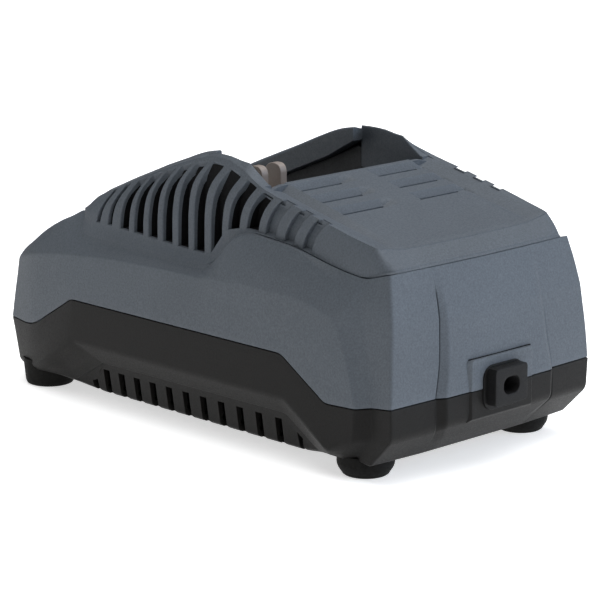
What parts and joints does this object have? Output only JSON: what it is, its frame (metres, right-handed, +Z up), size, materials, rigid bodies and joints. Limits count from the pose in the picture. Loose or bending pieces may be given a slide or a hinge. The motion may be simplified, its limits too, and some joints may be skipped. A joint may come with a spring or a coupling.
{
  "type": "power tool battery charger",
  "caption": "Desktop charger with a sloping slide-on dock between two rails, finned side vents, a louvred rear hump over a fan, a vented base on rubber feet and a rear mains gland.",
  "frame": {"origin": "bottom centre of the whole body, on the plane that the four feet stand on", "axes": "+Z up, +Y to the rear where the mains gland sits, -Y to the front where the battery slides in, X across the dock"},
  "size_m": [0.1256, 0.2524, 0.1186],
  "materials": {
    "blue_plastic": "fine moulded grain, blue grey",
    "black_plastic": "fine moulded grain, warm black",
    "dark_plastic": "fine moulded grain, near black",
    "rubber": "soft matt rubber",
    "gland_rubber": "smooth moulded rubber",
    "steel": "zinc plated",
    "circuit_board": "green solder mask",
    "ferrite": "dark sintered ferrite",
    "winding_tape": "yellow polyester tape",
    "capacitor_sleeve": "shrink sleeve",
    "choke_green": "coated ring core",
    "copper": "enamelled copper wire",
    "capacitor_yellow": "potted plastic box",
    "fuse_glass": "clear glass with metal caps",
    "connector_plastic": "nylon",
    "chip_black": "moulded epoxy",
    "aluminium": "extruded",
    "fan_plastic": "glass filled plastic",
    "beige_plastic": "smooth heat resistant plastic",
    "terminal_metal": "plated contact",
    "lens": "frosted light pipe",
    "lead_red": "insulated lead"
  },
  "bodies": {
    "charger": {"base_tray": "black_plastic", "main_housing": "blue_plastic", "top_cover": "blue_plastic", "dock_tray": "dark_plastic", "front_feet": "rubber", "rear_feet": "rubber", "foot_screws": "steel", "case_screws": "steel", "cover_screws": "steel", "cord_gland": "gland_rubber", "main_board": "circuit_board", "board_screws": "steel", "transformer_core": "ferrite", "transformer_winding": "winding_tape", "bulk_capacitors": "capacitor_sleeve", "choke_core": "choke_green", "choke_windings": "copper", "film_capacitor": "capacitor_yellow", "fuse": "fuse_glass", "fuse_clips": "steel", "mains_connector": "connector_plastic", "output_connector": "connector_plastic", "control_chips": "chip_black", "heat_sinks": "aluminium", "power_transistors": "chip_black", "transistor_screws": "steel", "fan_frame": "fan_plastic", "fan_stator": "copper", "fan_screws": "steel", "terminal_block": "beige_plastic", "terminal_blades": "terminal_metal", "terminal_screws": "steel", "status_board": "circuit_board", "status_lens": "lens", "output_leads": "lead_red"},
    "fan": {"fan_rotor": "fan_plastic"}
  },
  "joints": [
    {"name": "fan_spin", "type": "hinge", "parent": "charger", "child": "fan", "pos_m": [0, 0.06275, 0.078], "axis": [0, 0, 1], "continuous": true}
  ]
}
